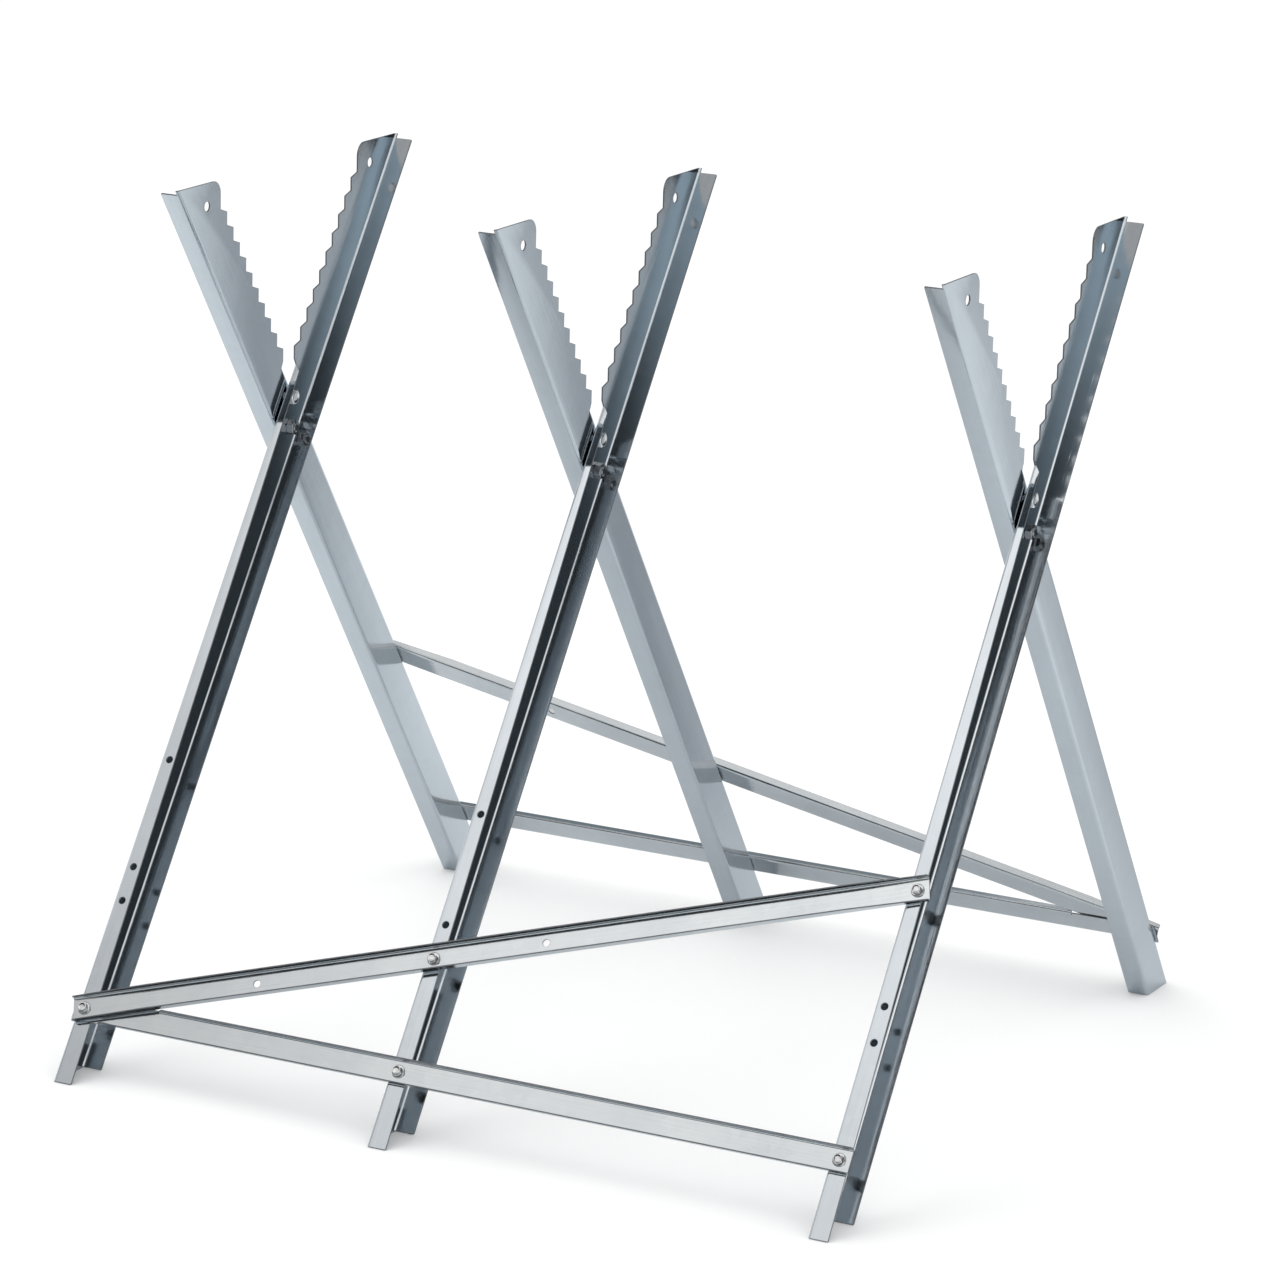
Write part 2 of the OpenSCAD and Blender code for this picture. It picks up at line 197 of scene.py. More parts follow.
class SAWSTAND_PG_braces(bpy.types.PropertyGroup):
    """Sizes of the braces, measured along a brace from its corner bolt."""

    width: length("Width", "Width of a brace", 0.023)
    sheet: length("Sheet", "Thickness of the brace sheet", 0.0012)
    bend: length("Bend", "Inside radius of the bends", 0.0015)
    cut_edge: length("Cut edge", "Radius left on the sheared edges", 0.0002)
    lower_lip: length("Lower lip", "Height of a lower brace's lips", 0.0065)
    diagonal_lip: length("Diagonal lip", "Height of a diagonal brace's lips", 0.009)
    lip_end: length("Lip at ends", "Height of the lips at the ends of a brace", 0.006)
    lip_taper: length("Lip taper", "Length over which the lips grow from an end", 0.070)
    lip_ramp: length("Lip ramp", "Length over which a lip that starts late rises", 0.004)
    relief: length("Relief", "Width of the slot beside a lip that starts late", 0.0006)
    margin: length("Margin", "Bolt centre to the end of a brace", 0.0105)
    corner: length("Corner", "Radius of the end corners", 0.0015)
    lip_gap: length("Lip gap", "Diagonal brace to the start of the upper lip", 0.0015)
    under_lip_start: length("Under lip start", "Corner bolt to the start of the under lip", 0.018)
    hole: length("Hole", "Diameter of the bolt holes", 0.0066)
    corner_lift: length("Corner lift", "Flange to the back of a diagonal brace at the corner bolt", 0.00145)
    end_lift: length("End lift", "Flange to the back of a diagonal brace at its far end", 0.00005)


class SAWSTAND_PG_bolts(bpy.types.PropertyGroup):
    """Sizes of the bolts, nuts and washers."""

    bolt_d: length("Bolt", "Diameter of the brace bolts", 0.006)
    bolt_flats: length("Bolt flats", "Width across flats of their heads", 0.008)
    bolt_head: length("Bolt head", "Height of the hexagon of a head", 0.0038)
    collar_d: length("Collar", "Diameter of the collar under a head", 0.012)
    collar_t: length("Collar thickness", "Thickness of that collar", 0.0012)
    bolt_thread: length("Bolt thread", "Pitch of their threads", 0.001)
    nut_flats: length("Nut flats", "Width across flats of their nuts", 0.010)
    pivot_d: length("Pivot bolt", "Diameter of the pivot and lock bolts", 0.008)
    pivot_flats: length("Pivot flats", "Width across flats of their heads and nuts", 0.013)
    pivot_head: length("Pivot head", "Height of their heads", 0.0053)
    pivot_thread: length("Pivot thread", "Pitch of their threads", 0.00125)
    lock_collar_d: length("Lock collar", "Diameter of the lock bolts' and nuts' collars", 0.011)
    lock_collar_t: length("Lock collar thickness", "Thickness of those collars", 0.0012)
    washer_hole: length("Washer hole", "Inner diameter of the washers", 0.0084)


class SAWSTAND_PG_finish(bpy.types.PropertyGroup):
    """Colours of the zinc and of the cut steel."""

    leg_zinc: colour("Leg zinc", "Bright zinc on the legs", (0.57, 0.605, 0.635))
    brace_zinc: colour("Brace zinc", "Bright zinc on the braces", (0.625, 0.645, 0.65))
    dull_zinc: colour("Dull zinc", "Zinc that has gone dull", (0.50, 0.53, 0.555))
    # Painted highlight: brighter zinc along the legs' inner bends, standing in for the bright line of light on the
    # folds
    bend_highlight: colour("Bend highlight", "Zinc brightened along the bends as a painted highlight", (0.90, 0.91, 0.92))
    plating: colour("Plating", "Bright plating on bolts and nuts", (0.75, 0.755, 0.75))
    dull_plating: colour("Dull plating", "Plating in the hollows and on worn corners", (0.52, 0.525, 0.525))
    dark_plating: colour("Dark plating", "Plating of the pivot bolts, gone dark", (0.27, 0.275, 0.28))
    cut_steel: colour("Cut steel", "Bare steel on the sheared edges", (0.22, 0.23, 0.24))


class SAWSTAND_PG_studio(bpy.types.PropertyGroup):
    """Camera and studio."""

    azimuth: degrees("Azimuth", "Turn of the camera to the right of the front", 27.05)
    elevation: degrees("Elevation", "Height of the camera as an angle", 14.76)
    roll: degrees("Roll", "Roll of the camera", 1.52)
    distance: length("Distance", "Camera to the point that it looks at", 4.942)
    aim_height: length("Aim height", "Height of that point", 0.3696)
    lens: FloatProperty(name="Lens", description="Focal length in millimetres", default=154.7, min=1.0)
    floor_size: length("Floor", "Half the width of the floor", 25.0)
    floor: colour("Floor", "Colour of the floor", (0.93, 0.93, 0.93))
    near_floor: colour("Near floor", "What the steel mirrors from the floor under it", (0.72, 0.76, 0.79))
    far_floor: colour("Far floor", "What it mirrors from the floor around", (0.855, 0.90, 0.93))
    dim_floor: colour("Dim floor", "What it mirrors from a dim stripe of that floor", (0.30, 0.33, 0.36))
    daylight: FloatProperty(
        name="Daylight", description="Strength of the light from all around", default=1.13, min=0.0)
    key: FloatProperty(
        name="Key light", description="Power of the soft lamp above", default=8.0, min=0.0, unit="POWER")
    key_size: length("Key size", "Width of that lamp", 1.6)
    dark_card: colour("Dark card", "Shade of the dark cards that the steel mirrors", (0.075, 0.09, 0.10))
    white_card: colour("White card", "Shade of the card that lights the braces", (1.0, 1.0, 1.0))


PROPERTY_GROUPS = {
    "sawstand_legs": SAWSTAND_PG_legs,
    "sawstand_braces": SAWSTAND_PG_braces,
    "sawstand_bolts": SAWSTAND_PG_bolts,
    "sawstand_finish": SAWSTAND_PG_finish,
    "sawstand_studio": SAWSTAND_PG_studio,
}


# Places that come from the frame

def node_points(node):
    """Corners of a CAD node at rest, as an array."""
    mesh = frame["nodes"][node].data
    points = np.empty(3 * len(mesh.vertices), dtype=np.float32)
    mesh.vertices.foreach_get("co", points)
    return points.reshape(-1, 3).astype(float)


def unit(vector):
    """The same direction with a length of one."""
    return vector / np.linalg.norm(vector)


def side_axes(side):
    """Directions of one side's frame: along the row, outwards from the leg and up the leg."""
    sign = SIDES[side]
    lean = bpy.context.scene.sawstand_legs.lean
    row = np.array([sign, 0.0, 0.0])
    out = np.array([0.0, -sign * math.cos(lean), math.sin(lean)])
    up = np.array([0.0, sign * math.sin(lean), math.cos(lean)])
    return row, out, up


def axis_seat(node, axis):
    """Middle of the low end of a round node along an axis, and the node's length along it."""
    points = node_points(node)
    side = unit(np.cross(axis, ASKEW))
    across = np.cross(axis, side)
    spans = [points @ direction for direction in (side, across, axis)]
    middle = [(span.min() + span.max()) / 2 for span in spans[:2]]
    low, high = spans[2].min(), spans[2].max()
    return middle[0] * side + middle[1] * across + low * axis, high - low


def bolt_axis(side, name):
    """Point on the axis of a brace bolt, at the flange's outer face."""
    reach = bpy.context.scene.sawstand_legs.brace_reach
    out = side_axes(side)[1]
    centre, _ = axis_seat(f"{side}_nut_{name}", out)
    return centre + (reach - (centre - PIVOT) @ out) * out


def web_face(node):
    """Place along the row of the outer face of a leg's web."""
    low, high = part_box(node)
    return low[0] if node.startswith("front") else high[0]


def frame_places():
    """Places of the middle frame and the far frame along the row, from the left one."""
    starts = [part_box(f"front_leg_{name}")[0][0] for name in FRAMES]
    return starts[1] - starts[0], starts[2] - starts[0]


# Meshes

def put_mesh(name, points, corners, sizes, materials, material_index=None, normals=None, uv=None):
    """Make an object from corner points, face corners, corners per face and what each corner carries."""
    mesh = bpy.data.meshes.new(name)
    mesh.vertices.add(len(points))
    mesh.vertices.foreach_set("co", points.astype(np.float32).ravel())
    mesh.loops.add(len(corners))
    mesh.loops.foreach_set("vertex_index", corners.astype(np.int32))
    mesh.polygons.add(len(sizes))
    starts = np.concatenate([[0], np.cumsum(sizes)[:-1]])
    mesh.polygons.foreach_set("loop_start", starts.astype(np.int32))
    for material in materials:
        mesh.materials.append(material)
    if material_index is not None:
        mesh.polygons.foreach_set("material_index", material_index.astype(np.int32))
    if uv is not None:
        mesh.uv_layers.new(name="Blank").data.foreach_set("uv", uv.astype(np.float32).ravel())
    mesh.update(calc_edges=True)
    mesh.shade_smooth()
    if normals is not None:
        mesh.normals_split_custom_set(normals.astype(np.float32))
    if mesh.validate():
        raise RuntimeError(f"{name} has broken faces")
    piece = bpy.data.objects.new(name, mesh)
    bpy.context.scene.collection.objects.link(piece)
    return piece


def dress(node, *mesh):
    """Make a piece that stands for a CAD node, on the node's body and with its finish."""
    piece = put_mesh(f"dressed_{node}", *mesh)
    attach(piece, BODY_OF[node])
    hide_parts(node)
    return piece


# Folded sheets

def rounded_loop(corners, radii):
    """Closed outline whose corners are eased by circular arcs, and where each corner's points start.

    An arc is the rational quadratic curve from one tangent point to the other, pulled to the corner by
    the sine of half the corner's angle, which makes it a true circle. A radius of zero keeps the corner.
    """
    corners = np.asarray(corners, dtype=float)
    radii = np.asarray(radii, dtype=float)
    back = np.roll(corners, 1, 0) - corners
    ahead = np.roll(corners, -1, 0) - corners
    back_length = np.linalg.norm(back, axis=1)
    ahead_length = np.linalg.norm(ahead, axis=1)
    cosine = (back * ahead).sum(1) / (back_length * ahead_length)
    half = np.arccos(np.clip(cosine, -1, 1)) / 2
    run = np.minimum(radii / np.tan(half), LONGEST_EASE * np.minimum(back_length, ahead_length))
    first = corners + back * (run / back_length)[:, None]
    last = corners + ahead * (run / ahead_length)[:, None]
    t = np.linspace(0, 1, CORNER_POINTS)[None, :, None]
    pull = 2 * np.sin(half)[:, None, None] * t * (1 - t)
    weight = (1 - t) ** 2 + pull + t ** 2
    arc = ((1 - t) ** 2 * first[:, None] + pull * corners[:, None] + t ** 2 * last[:, None]) / weight
    kept = np.ones((len(corners), CORNER_POINTS), dtype=bool)
    kept[radii == 0, 1:] = False
    starts = np.concatenate([[0], np.cumsum(kept.sum(1))[:-1]])
    return arc[kept], starts


def blank_points(across, along):
    """Points of a blank from their places across and along it, where one place may serve them all."""
    return np.stack(np.broadcast_arrays(across, along), 1)


def hole_loop(across, along, diameter):
    """Round hole in a blank, run clockwise so that the sheet lies outside it."""
    angle = -np.linspace(0, FULL_TURN, HOLE_POINTS, endpoint=False)
    return blank_points(across + diameter / 2 * np.cos(angle), along + diameter / 2 * np.sin(angle))


def inside_loops(points, start, end):
    """Whether each point lies inside the loops, by counting the edges that a line to its right crosses."""
    x, y = points[:, None, 0], points[:, None, 1]
    crosses = (start[:, 1] > y) != (end[:, 1] > y)
    rise = np.where(end[:, 1] == start[:, 1], 1.0, end[:, 1] - start[:, 1])
    at = start[:, 0] + (y - start[:, 1]) * (end[:, 0] - start[:, 0]) / rise
    return (crosses & (x < at)).sum(1) % 2 == 1


def bend_sizes(sizes):
    """Radius of a bend's middle, its length on the blank and its reach from the outer face."""
    radius = sizes.bend + sizes.sheet / 2
    return radius, radius * QUARTER_TURN, sizes.sheet + sizes.bend


def fold_channel(across, bent_low, bent_high, low, high, radius, half_sheet):
    """Rise, place across and turn of points of a blank that is folded up at both sides.

    Between the fold lines the sheet is flat. Past a fold line it turns on a circle through the middle of
    the sheet until a quarter turn is done, and then runs on straight.
    """
    turn_low = np.where(bent_low, np.clip((low - across) / radius, 0, QUARTER_TURN), 0)
    turn_high = np.where(bent_high, np.clip((across - high) / radius, 0, QUARTER_TURN), 0)
    turn = turn_high - turn_low
    flat = np.clip(across, np.where(bent_low, low, -np.inf), np.where(bent_high, high, np.inf))
    straight = np.abs(across - flat) - np.abs(turn) * radius
    rise = half_sheet + radius * (1 - np.cos(turn)) + straight
    return rise, flat + radius * np.sin(turn), turn


def loop_order(loops):
    """Numbers of the points after and before each point, going round every loop."""
    ends = np.cumsum([len(loop) for loop in loops])
    after = np.arange(1, ends[-1] + 1)
    after[ends - 1] = np.concatenate([[0], ends[:-1]])
    return after, np.argsort(after)


def blank_triangles(points, after, creases):
    """Triangles that fill a blank inside its loops and keep to its creases."""
    links = np.vstack([np.stack([np.arange(len(points)), after], 1), creases])
    found = delaunay_2d_cdt(points.tolist(), links.tolist(), [], 1, SAME_POINT)
    source = np.array([numbers[0] for numbers in found[3]])
    triangles = source[np.array(found[2])]
    return triangles[inside_loops(points[triangles].mean(1), points, points[after])]


def sheet_piece(node, pattern, place, gauge, materials):
    """Folded sheet with its thickness and eased cut edges, from the loops, creases and fold of its blank.

    The materials are those of its faces, its rim and, where they differ, its inner faces. Both faces are
    the blank's triangles carried through the fold, half a sheet to either side. The rim is a half-round
    profile carried round every loop: a ring at angle f is drawn in by edge times one less cosine f, and
    lies off the middle of the sheet by what is left of half a sheet plus edge times sine f.
    """
    loops, creases, fold = pattern
    sheet, edge = gauge.sheet, gauge.cut_edge
    origin, rise_axis, across_axis, along_axis = place
    blank = np.vstack(loops)
    index = np.arange(len(blank))
    after, before = loop_order(loops)

    step = blank[after] - blank
    edge_normal = np.stack([step[:, 1], -step[:, 0]], 1) / np.linalg.norm(step, axis=1)[:, None]
    meeting = edge_normal + edge_normal[before]
    facing = (edge_normal * edge_normal[before]).sum(1)
    draw_in = meeting / (1 + facing)[:, None]
    smooth = facing > math.cos(SMOOTH_BELOW)
    eased = meeting / np.linalg.norm(meeting, axis=1)[:, None]
    start_normal = np.where(smooth[:, None], eased, edge_normal)
    end_normal = np.where(smooth[after][:, None], eased[after], edge_normal)

    quarter = np.linspace(0, QUARTER_TURN, EDGE_STEPS + 1)
    angles = np.concatenate([quarter[::-1], -quarter])
    flat_part = np.repeat([1.0, -1.0], EDGE_STEPS + 1) * (sheet / 2 - edge)
    ring_points, start_corner, end_corner = [], [], []
    for angle, middle in zip(angles, flat_part):
        flat = blank - edge * (1 - math.cos(angle)) * draw_in
        rise, across, turn = fold(flat[:, 0], flat[:, 1])
        normal = np.outer(np.sin(turn), across_axis) - np.outer(np.cos(turn), rise_axis)
        tangent = np.outer(np.cos(turn), across_axis) + np.outer(np.sin(turn), rise_axis)
        at = origin + np.outer(rise, rise_axis) + np.outer(across, across_axis)
        at += np.outer(flat[:, 1], along_axis)
        ring_points.append(at + (middle + edge * math.sin(angle)) * normal)
        outwards = [m[:, :1] * tangent[i] + m[:, 1:] * along_axis
                    for m, i in ((start_normal, index), (end_normal, after))]
        start_corner.append(math.cos(angle) * outwards[0] + math.sin(angle) * normal)
        end_corner.append(math.cos(angle) * outwards[1] + math.sin(angle) * normal[after])

    triangles = blank_triangles(blank - edge * draw_in, after, creases)
    backs = triangles[:, ::-1]
    count, rings = len(blank), len(angles)
    last = (rings - 1) * count
    ring = np.arange(rings - 1)[:, None] * count
    quads = np.stack([ring + index, ring + count + index, ring + count + after, ring + after], 2)
    quad_count = quads.shape[0] * quads.shape[1]
    starts, finishes = np.array(start_corner), np.array(end_corner)
    quad_normals = np.stack([starts[:-1], starts[1:], finishes[1:], finishes[:-1]], 2)
    corners = np.concatenate([triangles.ravel(), backs.ravel() + last, quads.ravel()])
    face_normals = (starts[0][triangles], -starts[0][backs], quad_normals)
    normals = np.concatenate([part.reshape(-1, 3) for part in face_normals])
    sizes = np.repeat([3, 4], [2 * len(triangles), quad_count])
    inner = 2 if len(materials) > 2 else 0
    material_index = np.repeat([0, inner, 1], [len(triangles), len(triangles), quad_count])
    uv = blank[corners % count]
    dress(node, np.vstack(ring_points), corners, sizes, materials, material_index, normals, uv)


def leg_blank(sizes, brace_holes, lock_rise):
    """Outline, holes, creases and fold of the flat blank that a leg is pressed from."""
    lean = sizes.lean
    radius, bend_span, past_bend = bend_sizes(sizes)
    low = past_bend - sizes.plain_reach
    high = sizes.brace_reach - past_bend
    notch = sizes.brace_flange_rise
    steps = np.linspace(0, bend_span, LEG_BEND_LINES)
    low_lines = low - steps
    high_lines = high + steps
    plain_tip = low - bend_span - (sizes.plain_flange - past_bend)

    def fold(across, along):
        return fold_channel(across, True, along <= notch, low, high, radius, sizes.sheet / 2)

    def level(across, height, inset):
        """Place along the leg where a level cut meets the blank, kept a little inside the cut."""
        _, reach, turn = fold_channel(across, True, True, low, high, radius, sizes.sheet / 2)
        drop = inset * sizes.sheet / 2 * math.sin(lean) * np.abs(np.sin(turn))
        return (height - PIVOT[2] + drop - reach * math.sin(lean)) / math.cos(lean)

    foot_tip = high + bend_span + sizes.brace_flange_foot - past_bend
    foot_across = np.concatenate([[plain_tip], low_lines[::-1], high_lines, [foot_tip]])
    foot = blank_points(foot_across, level(foot_across, 0.0, 1.0))
    flange_tip = high + bend_span + sizes.brace_flange_top - past_bend
    flange_top = blank_points([flange_tip], notch - sizes.brace_flange_bevel)
    shoulder = blank_points(high_lines[::-1], notch)
    valleys = sizes.tooth_start + sizes.tooth_pitch * np.arange(sizes.tooth_count + 1)
    tips = valleys[:-1] + sizes.tooth_depth / math.tan(lean)
    teeth = np.empty((2 * sizes.tooth_count + 1, 2))
    teeth[::2] = blank_points(sizes.valley_reach, valleys)
    teeth[1::2] = blank_points(sizes.valley_reach + sizes.tooth_depth, tips)
    rise = (STAND_HEIGHT - PIVOT[2]) / math.cos(lean)
    corner_reach = math.cos(lean) ** 2 * (sizes.valley_reach + (rise - valleys[-1]) * math.tan(lean))
    top_corner = blank_points([corner_reach], rise - corner_reach * math.tan(lean))
    drop_across = np.array([low_lines[-1], plain_tip])
    top = np.vstack([
        blank_points(low_lines, level(low_lines, STAND_HEIGHT, -1.0)),
        blank_points(drop_across, level(drop_across, STAND_HEIGHT - sizes.plain_drop, -1.0)),
    ])

    corners = np.vstack([foot, flange_top, shoulder, teeth, top_corner, top])
    radii = np.zeros(len(corners))
    teeth_at = len(foot) + 1 + len(shoulder)
    radii[teeth_at:teeth_at + len(teeth)] = sizes.tooth_ease
    radii[teeth_at + len(teeth)] = sizes.top_corner
    radii[[0, len(foot) - 1, len(foot), len(corners) - 1]] = sizes.small_corner
    outline, starts = rounded_loop(corners, radii)

    lines = len(steps)
    foot_low = starts[1:1 + lines][::-1]
    foot_high = starts[1 + lines:1 + 2 * lines]
    shoulder_at = starts[len(foot) + 1:len(foot) + 1 + lines][::-1]
    top_at = teeth_at + len(teeth) + 1
    top_low = starts[np.append(np.arange(top_at, top_at + lines - 1), top_at + lines)]
    creases = np.vstack([np.stack([foot_low, top_low], 1), np.stack([foot_high, shoulder_at], 1)])

    hole_height = STAND_HEIGHT - PIVOT[2] - sizes.top_hole_drop
    hole_along = (hole_height - sizes.top_hole_reach * math.sin(lean)) / math.cos(lean)
    holes = [
        hole_loop(0.0, 0.0, sizes.pivot_hole),
        hole_loop(lock_rise * math.sin(lean), lock_rise * math.cos(lean), sizes.lock_hole),
        hole_loop(sizes.top_hole_reach, hole_along, sizes.top_hole),
    ]
    holes += [hole_loop(high + bend_span + across - past_bend, along, sizes.brace_hole)
              for across, along in brace_holes]
    return [outline] + holes, creases, fold


def brace_blank(sizes, span, lip, holes, upper_start=None, under_start=None):
    """Outline, holes, creases and fold of a brace's flat blank.

    A lip that has a start is cut away before it, and the sheet stays flat there out to its edge.
    """
    radius, bend_span, past_bend = bend_sizes(sizes)
    flat = sizes.width / 2 - past_bend
    lines = flat + np.linspace(0, bend_span, BRACE_BEND_LINES)
    near_end, far_end = -sizes.margin, span + sizes.margin
    full = lines[-1] + lip - past_bend
    short = lines[-1] + sizes.lip_end - past_bend
    edge = sizes.width / 2 - sizes.cut_edge
    low_start = near_end if under_start is None else under_start
    high_start = near_end if upper_start is None else upper_start

    def fold(across, along):
        bent_low, bent_high = (along >= start - sizes.relief / 2 for start in (low_start, high_start))
        return fold_channel(across, bent_low, bent_high, -flat, flat, radius, sizes.sheet / 2)

    def one_side(start):
        """Corners from the middle of the near end round to the middle of the far end, on the high side."""
        if start == near_end:
            near = [(across, near_end, 0.0) for across in lines]
            near += [(short, near_end, sizes.corner), (full, near_end + sizes.lip_taper, sizes.lip_taper)]
            first_line = 0
        else:
            near = [(edge, near_end, sizes.corner), (edge, start - sizes.relief, sizes.corner / 2),
                    (flat, start - sizes.relief, 0.0)]
            first_line = len(near)
            near += [(across, start, 0.0) for across in lines]
            near += [(full, start + sizes.lip_ramp, sizes.lip_ramp / 2)]
        far = [(full, far_end - sizes.lip_taper, sizes.lip_taper), (short, far_end, sizes.corner)]
        last_line = len(near) + len(far)
        far += [(across, far_end, 0.0) for across in lines[::-1]]
        rows = np.array(near + far)
        return rows, first_line, last_line

    high_side, high_first, high_last = one_side(high_start)
    low_side, low_first, low_last = one_side(low_start)
    low_side = low_side * [-1, 1, 1]
    rows = np.vstack([high_side, low_side[::-1]])
    outline, starts = rounded_loop(rows[:, :2], rows[:, 2])
    count = len(lines)
    step = np.arange(count)
    low_at = len(rows) - 1
    creases = np.vstack([
        np.stack([starts[high_first + step], starts[high_last + count - 1 - step]], 1),
        np.stack([starts[low_at - low_first - step], starts[low_at - low_last - count + 1 + step]], 1),
    ])
    return [outline] + [hole_loop(0.0, along, sizes.hole) for along in holes], creases, fold


# Turned pieces

def hexagon_radius(flats):
    """Radius of a hexagon at each angle, with its corners taken off a little."""
    offset = np.mod(TURN, math.pi / 3) - math.pi / 6
    return np.minimum(flats / 2 / np.cos(offset), BLUNT_CORNER * flats / 2 / math.cos(math.pi / 6))


def turned_piece(node, rings, seat, axis, towards, material, closed=False, twist=0.0):
    """Surface from rings round an axis: each has a radius and a height, which may change with the angle.

    The angle starts in the given direction. A closed piece joins its last ring to its first, and an open
    one is closed by a fan at either end.
    """
    radii, heights = (np.array([np.broadcast_to(value, AROUND) for value in part]) for part in zip(*rings))
    first = unit(towards - (towards @ axis) * axis)
    second = np.cross(axis, first)
    across, beside = radii * np.cos(TURN + twist), radii * np.sin(TURN + twist)
    points = seat + across[..., None] * first + beside[..., None] * second + heights[..., None] * axis
    points = points.reshape(-1, 3)
    here = np.arange(AROUND)
    there = np.roll(here, -1)
    rows = np.arange(len(rings) if closed else len(rings) - 1)[:, None] * AROUND
    down = (rows + AROUND) % len(points)
    quads = np.stack([rows + here, down + here, down + there, rows + there], 2)
    corners = quads.ravel()
    sizes = np.full(quads.shape[0] * quads.shape[1], 4)
    if not closed:
        ends = np.stack([seat + heights[0].mean() * axis, seat + heights[-1].mean() * axis])
        top = len(points)
        last = top - AROUND
        points = np.vstack([points, ends])
        fan_top = np.stack([np.full(AROUND, top), here, there], 1)
        fan_low = np.stack([np.full(AROUND, top + 1), last + there, last + here], 1)
        corners = np.concatenate([corners, fan_top.ravel(), fan_low.ravel()])
        sizes = np.concatenate([sizes, np.full(2 * AROUND, 3)])
    piece = dress(node, points, corners, sizes, [material])
    piece.data.set_sharp_from_angle(angle=SHARP_ABOVE)


def row_turn(turns, number):
    """Turn of one of a row of heads or nuts."""
    first, step = turns
    return first + step * number


def hexagon_head(flats, low, high):
    """Rings of a hexagon head from its dished top to its underside, with a cone taking off its corners."""
    corner = hexagon_radius(flats)
    chamfer = high - (corner - FACE_CIRCLE * flats) * math.tan(CHAMFER)
    dish = [(share * flats, high - drop * flats) for share, drop in HEAD_DISH]
    return dish + [(corner, chamfer), (corner, low)]


def threaded_shank(diameter, pitch, top, thread_top):
    """Rings of a shank: plain down to thread_top, then a thread, then an eased end at zero.

    The thread's radius falls and rises as a triangle wave of the height in pitches plus the turn.
    """
    radius = diameter / 2
    depth = THREAD_DEPTH * pitch
    run = np.arange(thread_top, pitch / 2, -pitch / THREAD_STEPS)
    wave = np.abs(np.mod(run[:, None] / pitch + TURN / FULL_TURN, 1.0) - 0.5) * 2
    fade = np.minimum(1, (thread_top - run) / pitch)[:, None]
    thread = list(zip(radius - depth * fade * wave, run))
    return [(radius, top)] + thread + [(radius - depth, pitch / 2), (radius - depth - pitch / 4, 0.0)]


def collar_rings(diameter, thick, low):
    """Rings down the outside of a collar with an eased upper edge."""
    return [(diameter / 2 - inset * thick, low + rise * thick) for inset, rise in COLLAR_EDGE]


def neck_rings(diameter, thick, low):
    """Rings down a straight collar that is narrower than the hexagon above it."""
    return [(diameter / 2, low + thick), (diameter / 2, low)]


def nut_rings(flats, bore, height, neck_d=0.0, neck_t=0.0):
    """Rings of a hexagon nut round its section, with both faces chamfered and a neck below if it has one."""
    corner = hexagon_radius(flats)
    circle = FACE_CIRCLE * flats
    drop = (corner - circle) * math.tan(CHAMFER)
    mouth = NUT_MOUTH * flats
    hexagon = [(circle, height), (corner, height - drop), (corner, neck_t + drop), (circle, neck_t)]
    neck = neck_rings(neck_d, neck_t, 0.0) if neck_t else []
    upper = [(bore / 2, height - mouth), (bore / 2 + mouth, height)]
    return upper + hexagon + neck + [(bore / 2 + mouth, 0.0), (bore / 2, mouth)]


def washer_rings(inner, outer, thick):
    """Rings of a washer round its section, with eased edges."""
    ease = WASHER_EASE * thick
    upper = [(inner, thick - ease), (inner + ease, thick), (outer - ease, thick), (outer, thick - ease)]
    return upper + [(radius, thick - height) for radius, height in upper[::-1]]


# Finishes

def opaque(shade):
    """A colour with the fourth value that a socket takes."""
    return (*shade, 1.0)


def feed(node, values):
    """Link sockets to a node's inputs and set plain values on them."""
    for name, value in values.items():
        if isinstance(value, bpy.types.NodeSocket):
            node.id_data.links.new(value, node.inputs[name])
        else:
            node.inputs[name].default_value = value


def add_node(tree, kind, values=None, **settings):
    """Add a shader node with its settings, fed with sockets and values, and give its outputs."""
    node = tree.nodes.new(kind)
    for name, value in settings.items():
        setattr(node, name, value)
    feed(node, values or {})
    return node.outputs


def work_out(tree, operation, *values):
    """Put one sum after the sockets and numbers that it takes."""
    return add_node(tree, "ShaderNodeMath", dict(enumerate(values)), operation=operation)[0]


def ramp(tree, value, places, results=(0.0, 1.0), **settings):
    """Run from one result to the other between two places, and stay level beyond them."""
    limits = {"From Min": places[0], "From Max": places[1], "To Min": results[0], "To Max": results[1]}
    return add_node(tree, "ShaderNodeMapRange", {"Value": value, **limits}, **settings)[0]


def mix_colours(tree, factor, first, second):
    """Go from the first colour to the second as the factor grows."""
    ends = {"Factor": factor, "A": first, "B": second}
    return add_node(tree, "ShaderNodeMix", ends, data_type="RGBA")["Result"]


